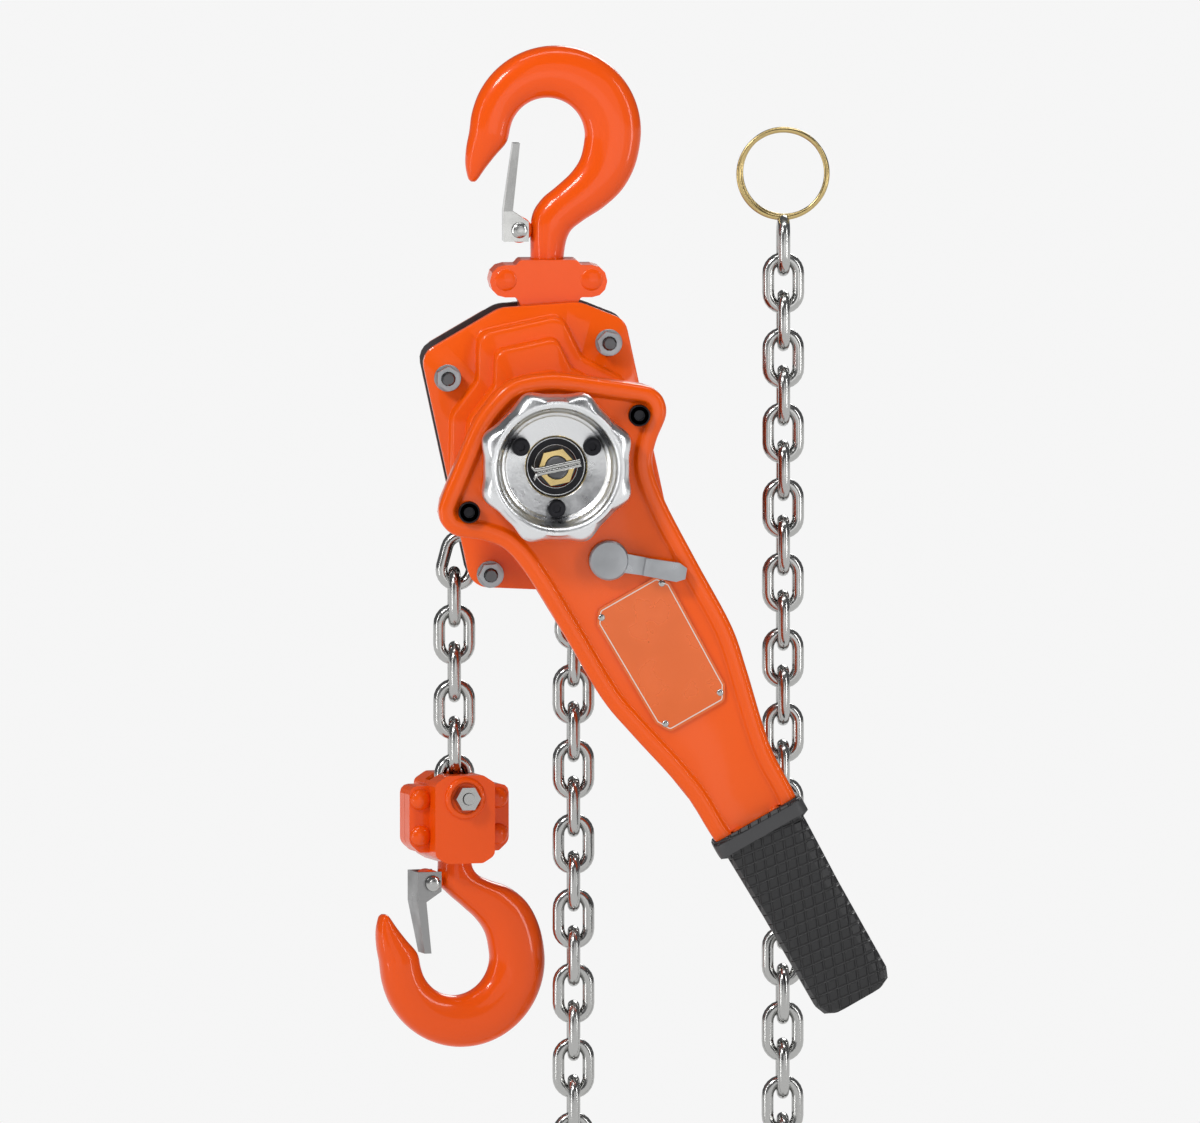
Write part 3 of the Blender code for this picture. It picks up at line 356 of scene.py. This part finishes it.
def rounded(corners, arc_steps=10):
    """A closed outline from (x, z, radius) corners in millimetres, each corner an arc."""
    points = [Vector((x, z)) for x, z, _ in corners]
    outline = []
    for i, corner in enumerate(points):
        radius = corners[i][2]
        back = (points[i - 1] - corner).normalized()
        ahead = (points[(i + 1) % len(points)] - corner).normalized()
        half = back.angle(ahead) / 2
        reach = radius / sin(half) * cos(half)
        middle = corner + (back + ahead).normalized() * (radius / sin(half))
        start = corner + back * reach - middle
        stop = corner + ahead * reach - middle
        first = atan2(start.y, start.x)
        sweep = (atan2(stop.y, stop.x) - first + pi) % (2 * pi) - pi
        for k in range(arc_steps + 1):
            a = first + sweep * k / arc_steps
            outline.append((middle.x + radius * cos(a), middle.y + radius * sin(a)))
    return outline


def inset(outline, depth):
    """The outline moved inwards along its normals by depth."""
    area = sum(a[0] * b[1] - b[0] * a[1] for a, b in zip(outline, outline[1:] + outline[:1]))
    way = depth if area > 0 else -depth
    moved = []
    for i, point in enumerate(outline):
        along = Vector(outline[(i + 1) % len(outline)]) - Vector(outline[i - 1])
        along.normalize()
        moved.append((point[0] - way * along.y, point[1] + way * along.x))
    return moved


def polar(outline, count):
    """The outline read at equal angles round the origin, so outlines can be lofted."""
    points = []
    for k in range(count):
        ray = Vector((cos(2 * pi * k / count), sin(2 * pi * k / count)))
        best = 0.0
        for a, b in zip(outline, outline[1:] + outline[:1]):
            edge = Vector((b[0] - a[0], b[1] - a[1]))
            cross = ray.x * edge.y - ray.y * edge.x
            if abs(cross) < 1e-9:
                continue
            share = (a[0] * ray.y - a[1] * ray.x) / cross
            if -1e-9 <= share <= 1 + 1e-9:
                best = max(best, (a[0] * edge.y - a[1] * edge.x) / cross)
        points.append((ray.x * best, ray.y * best))
    return points


def in_metres(rings):
    """Rings of (outline, y) in millimetres as points in metres."""
    return [[(x * MM, y * MM, z * MM) for x, z in outline] for outline, y in rings]


def about_y(angle, centre=(0, 0, 0)):
    return Matrix.Translation(centre) @ Matrix.Rotation(angle, 4, "Y")


IN_FRAME = about_y(-FRAME_TILT, DRIVE)
IN_LEVER = about_y(-LEVER_TILT, DRIVE)
IN_BLOCK = Matrix.Translation((LOAD_X, 0, BLOCK_PIN_Z)) @ Matrix.Rotation(BLOCK_YAW, 4, "Z")


# --- chain --------------------------------------------------------------------------------
def link_rings(bend_steps=12, wire_steps=16):
    """The rings of one chain link, standing in the XZ plane, centred on the origin."""
    bend_r = CHAIN_HALF_WIDTH - CHAIN_WIRE
    straight = CHAIN_PITCH / 2 + CHAIN_WIRE + 0.05 * MM - bend_r
    rings = []
    for half in (0, 1):
        for k in range(bend_steps + 1):
            a = pi * k / bend_steps + pi * half
            out = Vector((cos(a), 0, sin(a)))
            middle = Vector((0, 0, straight if half == 0 else -straight)) + out * bend_r
            ring = []
            for j in range(wire_steps):
                b = 2 * pi * j / wire_steps
                across = out * (CHAIN_WIRE * cos(b)) + Vector((0, CHAIN_WIRE * sin(b), 0))
                ring.append(middle + across)
            rings.append(ring)
    return rings


def add_link(bm, place, along, face_on):
    """One link at a place, its length along a direction in the XZ plane."""
    lean = atan2(along.x, along.z)
    turn = Matrix.Rotation(lean, 4, "Y")
    if not face_on:
        turn = turn @ Matrix.Rotation(pi / 2, 4, "Z")
    skin(bm, link_rings(), wrap=True, matrix=Matrix.Translation(place) @ turn)


def walk(path, start, spacing):
    """(place, direction) every spacing along a dense path, from start along it."""
    found, walked, target = [], 0.0, start
    for a, b in zip(path, path[1:]):
        step = (b - a).length
        while walked + step >= target:
            found.append((a + (b - a) * ((target - walked) / step), (b - a).normalized()))
            target += spacing
        walked += step
    return found, walked


def build_chains():
    """Every link as its own forged ring; the slack strand's links are laid along its route as one piece."""
    for number in range(LOAD_LINKS):
        bm = bmesh.new()
        turn = BLOCK_YAW if number == 0 else (0 if number % 2 == 0 else pi / 2)
        place = Vector((LOAD_X, 0, FIRST_LINK_Z + number * CHAIN_PITCH))
        matrix = Matrix.Translation(place) @ Matrix.Rotation(turn, 4, "Z")
        skin(bm, link_rings(), wrap=True, matrix=matrix)
        piece = make(f"load_link_{number + 1}", bm, ZINC, "load_chain", sharp=80)
        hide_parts(f"chain_link_{number + 1}")

    lean = Vector((sin(radians(15)), 0, cos(radians(15))))
    last = Vector((LOAD_X, 0, FIRST_LINK_Z + (LOAD_LINKS - 0.5) * CHAIN_PITCH))
    bm = bmesh.new()
    add_link(bm, last + lean * CHAIN_PITCH * 0.5, lean, True)
    make("leaning_link", bm, ZINC, "load_chain", sharp=80)

    bm = bmesh.new()
    for k in range(5):
        a = radians(205 - 36 * k)
        out = Vector((cos(a), 0, sin(a)))
        add_link(bm, DRIVE + out * SHEAVE_LINK_R, Vector((-out.z, 0, out.x)), k % 2 == 1)
    make("links_on_sheave", bm, ZINC, "load_sheave", sharp=80)

    route = [Vector((x * MM, 0, z * MM)) for x, z in SLACK_ROUTE]
    dense = catmull(route, 24)
    total = sum((b - a).length for a, b in zip(dense, dense[1:]))
    count = int((total - 2 * MM) // CHAIN_PITCH)
    slack = (total - count * CHAIN_PITCH) / 2
    places, total = walk(dense, slack + CHAIN_PITCH / 2, CHAIN_PITCH)
    bm = bmesh.new()
    for number, (place, along) in enumerate(places[:count]):
        add_link(bm, place, along, (count - number) % 2 == 0)
    strand = make("slack_strand", bm, ZINC, "frame", sharp=80)
    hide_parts("slack_chain")

    ring = build_end_ring()
    spaced, _ = walk(dense, 0.0, 22 * MM)


def build_end_ring():
    """A split ring: flat wire wound twice, its two ends lapped."""
    bm = bmesh.new()
    rings, steps = [], 160
    for k in range(steps + 1):
        a = 2 * pi * (2 * k / steps) + radians(40)
        out = Vector((cos(a), 0, sin(a)))
        lane = -0.72 * MM + 1.44 * MM * min(1.0, max(0.0, (k / steps - 0.44) / 0.12))
        aside = Vector((0.5 * MM, 0, 0.35 * MM)) * (1 if k > steps / 2 else -1)
        centre = RING_CENTRE + out * RING_R + aside * abs(sin(pi * k / steps * 2)) + Vector((0, lane, 0))
        ring = []
        for j in range(12):
            b = 2 * pi * j / 12
            ring.append(centre + out * (1.25 * MM * cos(b)) + Vector((0, 0.66 * MM * sin(b), 0)))
        rings.append(ring)
    skin(bm, rings)
    ring = make("split_ring", bm, YELLOW_ZINC, "frame", sharp=60)
    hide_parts("end_ring")
    return ring


# --- hooks --------------------------------------------------------------------------------
def hook_stations(neck):
    """Inner and outer edges of the forging, tip first, bowl centre at the origin, shank up."""
    squash = (neck - 32 * MM) / (26 * MM)
    pairs = [((-34.4, 22.0), (-36.6, 22.0)), ((-33.0, 20.6), (-38.0, 20.0)),
             ((-29.5, 15.6), (-39.2, 13.6)), ((-24.6, 9.4), (-38.8, 6.0)),
             ((-19.4, 3.2), (-37.4, -1.4))]
    stations = [(Vector(a) * MM, Vector(b) * MM) for a, b in pairs]
    first, last, steps = radians(192), radians(366), 12
    for k in range(steps + 1):
        a = first + (last - first) * k / steps
        ray = Vector((cos(a), sin(a)))
        stations.append((ray * BOWL_R, ray * HOOK_OUTER_R + HOOK_OUTER_SHIFT))
    neck_pairs = [((16.0, 11.0), (42.0, 15.0)), ((11.5, 18.0), (36.0, 26.0)),
                  ((4.5, 24.5), (27.0, 34.5)), ((-3.0, 31.0), (17.0, 41.0)),
                  ((-7.6, 40.0), (10.5, 47.0))]
    for pair in neck_pairs:
        inner, outer = [
            Vector((x, 32 + (z - 32) * squash if z > 32 else z)) * MM for x, z in pair
        ]
        stations.append((inner, outer))
    for extra in (0, 15 * MM):
        stations.append((Vector((-8 * MM, neck + extra)), Vector((8 * MM, neck + extra))))
    return stations


def build_hook(name, node, place, up, neck, pin_height, pin_x, body):
    """A forged hook with a smooth skin. up is -1 for the top hook, whose shank points down."""
    stations = hook_stations(neck)
    inner = catmull([a for a, _ in stations], 5)
    outer = catmull([b for _, b in stations], 5)
    rings, count = [], 32
    for i, (a, b) in enumerate(zip(inner, outer)):
        side, centre = (b - a) / 2, (a + b) / 2
        share = i / 5
        depth = min(1.0, 0.30 + 0.22 * share ** 0.8)
        round_shank = max(0.0, min(1.0, share - (len(stations) - 3)))
        half = HOOK_HALF_THICK * depth * (1 - 0.07 * round_shank)
        power = 2.55 - 0.55 * round_shank
        ring = []
        for k in range(count):
            t = 2 * pi * (k + 0.5) / count
            c, s = cos(t), sin(t)
            reach = (abs(c) ** power + abs(s) ** power) ** (-1 / power)
            edge = centre + side * (reach * c)
            ring.append((edge.x, half * reach * s, edge.y * up))
        rings.append(ring)
    bm = skin(bmesh.new(), rings, matrix=place)
    hook = make(name, bm, HOOK_PAINT, body, sharp=60)
    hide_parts(node)

    z0, z1 = sorted(((neck + 15 * MM) * up, (neck + 20 * MM) * up))
    collar = [[(x, y, z) for x, y in circle(10.8 * MM)] for z in (z0, z1)]
    make(name + "_collar", skin(bmesh.new(), collar, matrix=place), HOOK_PAINT, body)

    lug_place = place @ Matrix.Translation((pin_x, 0, pin_height * up))
    lug = turned(bmesh.new(), [(-5, 5.4), (-4.4, 6.2), (4.4, 6.2), (5, 5.4)], matrix=lug_place)
    make(name + "_lug", lug, HOOK_PAINT, body)
    heads = bmesh.new()
    for way in (-1, 1):
        steps = [(way * 8.4, 3.9), (way * 9.4, 3.7), (way * 10.0, 2.9), (way * 10.3, 1.6), (way * 10.3, 0.2)]
        turned(heads, steps, matrix=lug_place)
    make(name + "_latch_rivet", heads, ZINC, body)


def build_hooks():
    top = Matrix.Translation((0, 0, -BOWL_R))
    build_hook("top_hook_forging", "top_hook", top, -1, TOP_NECK, 45 * MM, -13.6 * MM, "top_hook")
    bottom = IN_BLOCK @ Matrix.Translation((0, 0, BOTTOM_BOWL_Z - BLOCK_PIN_Z))
    build_hook("bottom_hook_forging", "bottom_hook", bottom, 1, BOTTOM_NECK, 37 * MM, -13.4 * MM,
               "bottom_hook")


# --- rivets, washers and sockets ----------------------------------------------------------
def dome(bm, place, radius, height, y, way=-1, count=32):
    """A round rivet head standing from y, in millimetres, towards way."""
    steps = []
    for k in range(7):
        a = radians(90) * k / 6
        steps.append((y + way * height * sin(a), max(0.05, radius * cos(a))))
    turned(bm, steps, count, matrix=place)


def build_rivets():
    yoke = Matrix.Translation((0, 0, -108 * MM))
    bm = bmesh.new()
    for x in (-20.5, 20.5):
        for way in (-1, 1):
            dome(bm, yoke @ Matrix.Translation((x * MM, 0, 21.6 * MM)), 5.6, 1.3, way * 13.5, way)
    make("yoke_rivets", bm, HOOK_PAINT, "top_yoke")

    bm = bmesh.new()
    for x in (-19.5, 19.5):
        for z in (-1, -18.5):
            for way in (-1, 1):
                dome(bm, IN_BLOCK @ Matrix.Translation((x * MM, 0, z * MM)), 5.2, 3.4, way * 7.3, way)
    lip = [(-16.9, 7.3), (-18.0, 7.3), (-18.5, 7.8), (-18.6, 8.6), (-18.3, 9.4), (-17.6, 10), (-16.9, 10.2)]
    turned(bm, lip, matrix=IN_BLOCK, wrap=True)
    make("block_rivets", bm, HOOK_PAINT, "bottom_block")

    bm = bmesh.new()
    for x in (-16.5, 16.5):
        place = IN_LEVER @ Matrix.Translation((x * MM, 0, -74.2 * MM))
        dome(bm, place, 1.7, 0.8, -67.6)
    for x in (-15, 15):
        place = IN_LEVER @ Matrix.Translation((x * MM, 0, -133.4 * MM))
        dome(bm, place, 1.7, 0.8, -67.6)
    make("nameplate_rivets", bm, ZINC, "lever")


def build_washers():
    bm = bmesh.new()
    for u in (-STAY_U, STAY_U):
        for v in (-STAY_V, STAY_V):
            place = IN_FRAME @ Matrix.Translation((u, 0, v))
            steps = [(-21.6, 3.7), (-21.6, 6.3), (-21.4, 6.5), (-21.3, 3.7)]
            turned(bm, steps, matrix=place, wrap=True)
    make("stay_washers", bm, SATIN, "frame")


def socket_screw(bm, place, radius, y_seat, y_top):
    """A cap screw's head with a rounded rim and a hexagon socket."""
    rim = [(y_seat, radius), (y_top + 0.7, radius), (y_top + 0.25, radius - 0.25), (y_top, radius - 0.8),
           (y_top, radius * 0.62)]
    rings = [level(circle(r * MM), y * MM) for y, r in rim]
    hexagon = []
    for k in range(48):
        a = 2 * pi * k / 48
        side = radius * 0.5 * cos(pi / 6) / cos((a % (pi / 3)) - pi / 6)
        hexagon.append((side * MM * cos(a), side * MM * sin(a)))
    rings += [level(hexagon, y_top * MM), level(hexagon, (y_top + 2) * MM)]
    skin(bm, rings, matrix=place)


def build_screws():
    bm = bmesh.new()
    for way in (-1, 1):
        place = IN_LEVER @ Matrix.Translation((way * LEVER_BOLT_Q, 0, 1 * MM))
        socket_screw(bm, place, 5.2, -69.2, -72.8)
    make("lever_screw_heads", bm, BLACK_OXIDE, "lever")
    bm = bmesh.new()
    for number in range(3):
        a = -pi / 2 - FRAME_TILT + 2 * pi * number / 3
        spot = Matrix.Translation((WHEEL_SCREWS_R * cos(a), 0, WHEEL_SCREWS_R * sin(a)))
        socket_screw(bm, IN_FRAME @ spot, 4.4, -79.2, -83.3)
    wheel_heads = make("wheel_screw_heads", bm, BLACK_OXIDE, "drive")
    for number in range(3):
        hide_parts(f"wheel_screw_{number + 1}")


# --- covers and lever ---------------------------------------------------------------------
def build_brake_cover():
    """The pressed cover: two soft steps above its flange, then the round drum."""
    count = 288
    flange, one, two = [polar(rounded(shape), count) for shape in (PLATE, STEP_ONE, STEP_TWO)]

    def drum(radius):
        return circle(radius, count=count)

    base, top = PLATE_FRONT, COVER_TOP
    rings = [(drum(14), top), (drum(34), top), (drum(36.4), top + 0.3), (drum(38.4), top + 1.3),
             (drum(39.8), top + 3.0), (drum(40.4), top + 5.0), (drum(41.0), base - 15.2),
             (scaled(two, 0.95), base - 13.9), (scaled(two, 0.972), base - 13.6),
             (scaled(two, 0.99), base - 12.6), (scaled(two, 0.998), base - 11.2), (two, base - 9.4),
             (scaled(two, 1.01), base - 8.3), (scaled(one, 0.955), base - 7.8),
             (scaled(one, 0.978), base - 7.4), (scaled(one, 0.992), base - 6.3),
             (one, base - 4.6), (scaled(one, 1.004), base - 2.9), (scaled(one, 1.02), base - 2),
             (scaled(flange, 0.99), base - 2), (flange, base - 1.5), (flange, base),
             (scaled(one, 0.93), base), (scaled(two, 0.9), base - 9), (drum(36), base - 20),
             (drum(14), top + 2)]
    bm = skin(bmesh.new(), in_metres(rings), wrap=True, matrix=IN_FRAME)
    cover = make("cover_pressing", bm, BODY_PAINT, "frame", sharp=50)
    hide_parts("brake_cover")


def build_lever():
    """The front pressing, with its rolled rim and sunk panel, and what is fixed to it."""
    right = [(q, -p) for p, q in LEVER_SIDE]
    outline = right + [(-x, z) for x, z in reversed(right) if x > 0]
    face = LEVER_FACE
    steps = [(9.4, face + 2.4), (8.8, face + 2.3), (8.0, face + 1.2), (7.2, face + 0.2), (6.4, face),
             (3.4, face), (1.9, face + 0.25), (0.8, face + 0.9), (0.15, face + 2.0), (0, face + 3.2),
             (0, LEVER_OPEN), (2, LEVER_OPEN), (2, face + 5.8)]
    rings = []
    for depth, y in steps:
        fine = catmull([Vector(point) for point in inset(outline, depth)], 6, closed=True)
        rings.append(([(point.x, point.y) for point in fine], y))
    bm = skin(bmesh.new(), in_metres(rings), matrix=IN_LEVER)
    shell = make("lever_pressing", bm, BODY_PAINT, "lever", sharp=50)
    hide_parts("lever_front_shell")

    plate = rounded([(-16, -70, 3), (16, -70, 3), (20, -76, 2), (19, -131, 2), (15, -138, 3),
                     (-15, -138, 3), (-19, -131, 2), (-20, -76, 2)], 6)
    line = [(1.1, -67.6), (1.1, -67.8), (1.6, -67.8), (1.6, -67.6)]
    rings = [(inset(plate, depth), y) for depth, y in line]
    bm = skin(bmesh.new(), in_metres(rings), wrap=True, matrix=IN_LEVER)
    make("nameplate_border", bm, SILVER_INK, "lever")


def build_grip_collar():
    """The grip's plain collar, moulded in a slightly greyer rubber."""
    material = new_material("collar_rubber", (0.045, 0.045, 0.047), 0.5)
    outline = []
    for corner, (sx, sy) in enumerate(((1, 1), (-1, 1), (-1, -1), (1, -1))):
        for k in range(7):
            a = pi / 2 * (corner + k / 6)
            outline.append((sx * 17.95 + 6 * cos(a), -57.6 + sy * 9.95 + 6 * sin(a)))
    rings = []
    for inward, p in ((1.1, 196.0), (0.2, 196.4), (0, 197.0), (0, 202.2), (0.2, 202.8), (1.1, 203.2)):
        ring = inset(outline, inward)
        rings.append([(x * MM, y * MM, -p * MM) for x, y in ring])
    make("grip_collar", skin(bmesh.new(), rings, matrix=IN_LEVER), material, "lever")


# --- hand wheel ---------------------------------------------------------------------------
def build_hand_wheel():
    """The cast wheel: soft lobes, a rolled rim, a recess with a stepped floor and its hub."""
    count = 288
    lobes = []
    for k in range(count):
        a = 2 * pi * k / count
        wave = WHEEL_LOBES * (a + FRAME_TILT - pi / 8)
        r = WHEEL_R + WHEEL_LOBE * cos(wave) + WHEEL_CORNER * cos(2 * wave)
        lobes.append((r * cos(a), r * sin(a)))

    def ring(radius):
        return circle(radius * MM, count=count)

    rings = [(ring(10.2), -71.5), (scaled(lobes, 0.9), -71.5), (scaled(lobes, 0.955), -72.2),
             (scaled(lobes, 0.985), -74), (lobes, -77), (lobes, -83.4), (scaled(lobes, 0.992), -86.2),
             (scaled(lobes, 0.965), -88.4), (scaled(lobes, 0.925), -89.9), (ring(31.9), -90.8),
             (ring(30.6), -91), (ring(29.4), -90.7), (ring(28.3), -89.6), (ring(27.6), -87.6),
             (ring(26.9), -83.0), (ring(26.3), -81.2), (ring(25.6), -80.4), (ring(24.8), -80.3),
             (ring(24.2), -79.4), (ring(23.6), -79.1), (ring(15.2), -79.1), (ring(14.6), -78.8),
             (ring(14.2), -78.0), (ring(13.7), -75.7), (ring(10.2), -75.6)]
    rings = [level(outline, y * MM) for outline, y in rings]
    bm = skin(bmesh.new(), rings, wrap=True, matrix=IN_FRAME)
    wheel = make("hand_wheel_casting", bm, ALUMINIUM, "drive", sharp=50)
    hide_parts("hand_wheel")

    # Painted shade: a black ring lies on the recess floor between the nut and the recess wall. It stands in
    # for the shade down in the deep recess and for the dark steel gear inside it.
    steps = [(-75.7, 10.4), (-76.2, 10.4), (-76.2, 13.4), (-75.7, 13.4)]
    recess_shade_ring = turned(bmesh.new(), steps, matrix=IN_FRAME, wrap=True)
    make("hub_recess_shade_ring", recess_shade_ring, BLACK_OXIDE, "drive")

    bm = bmesh.new()
    for way in (-1, 1):
        leg = [Vector((way * 0.9, -86.3, 11.4)), Vector((way * 1.0, -86.3, 0)),
               Vector((way * 1.1, -86.3, -9.4)), Vector((way * 3.0, -86.5, -11.8))]
        leg = [p * MM for p in leg]
        path = catmull(leg, 8)
        rings = []
        for p in path:
            rings.append([p + Vector((MM * cos(b), 0.7 * MM * sin(b), 0))
                          for b in [2 * pi * j / 12 for j in range(12)]])
        skin(bm, rings, matrix=IN_FRAME @ Matrix.Rotation(radians(90), 4, "Y"))
    make("split_pin", bm, ZINC, "drive", sharp=60)


# --- floor, light and camera --------------------------------------------------------------
def build_floor():
    mesh = bpy.data.meshes.new("floor")
    size = 200.0
    corners = [(-size, -size), (size, -size), (size, size), (-size, size)]
    mesh.from_pydata([(x, y, FLOOR_Z) for x, y in corners], [], [(0, 1, 2, 3)])
    material = new_material("floor_paper", (0, 0, 0), 1.0)
    shader = material.node_tree.nodes["Principled BSDF"]
    shader.inputs["Specular IOR Level"].default_value = 0
    shader.inputs["Emission Color"].default_value = (*BACKDROP, 1)
    shader.inputs["Emission Strength"].default_value = 1.0
    mesh.materials.append(material)
    floor = bpy.data.objects.new("floor", mesh)
    bpy.context.scene.collection.objects.link(floor)


def build_light():
    world = bpy.data.worlds.new("studio")
    world.use_nodes = True
    world.node_tree.nodes["Background"].inputs["Color"].default_value = (*DIM_ROOM, 1)
    world.node_tree.nodes["Background"].inputs["Strength"].default_value = 1.0
    bpy.context.scene.world = world
    centre = Vector((0.02, 0, -0.22))
    for name, place, width, height, power in (
        ("key_light", (-1.2, -1.4, 1.2), 0.45, 0.45, 23),
        ("front_light", (0.5, -2.6, 0.1), 1.2, 1.2, 4),
        ("top_strip", (0.1, -0.5, 1.5), 1.6, 0.3, 9),
        ("left_strip", (-1.5, -0.9, -0.1), 0.16, 1.4, 5),
        ("right_strip", (1.4, -1.1, 0.2), 0.2, 1.5, 8),
        ("back_light", (0.6, 2.2, 0.9), 0.8, 0.8, 18),
    ):
        light = bpy.data.lights.new(name, "AREA")
        light.shape = "RECTANGLE"
        light.size = width
        light.size_y = height
        light.energy = power
        obj = bpy.data.objects.new(name, light)
        obj.location = place
        obj.rotation_euler = (centre - Vector(place)).to_track_quat("-Z", "Y").to_euler()
        bpy.context.scene.collection.objects.link(obj)


def build_camera():
    data = bpy.data.cameras.new("camera")
    data.sensor_width = SENSOR
    data.lens = SENSOR * VIEW_DISTANCE / VIEW_WIDTH
    data.clip_end = 500
    camera = bpy.data.objects.new("camera", data)
    camera.location = VIEW_TARGET + VIEW_FROM.normalized() * VIEW_DISTANCE
    camera.rotation_euler = (-VIEW_FROM).to_track_quat("-Z", "Y").to_euler()
    bpy.context.scene.collection.objects.link(camera)
    bpy.context.scene.camera = camera
    bpy.context.scene.view_settings.view_transform = "Standard"


build_camera()
build_light()
build_floor()
dress_cad_nodes()
build_chains()
build_hooks()
build_rivets()
build_washers()
build_screws()
build_grip_collar()
build_brake_cover()
build_lever()
build_hand_wheel()
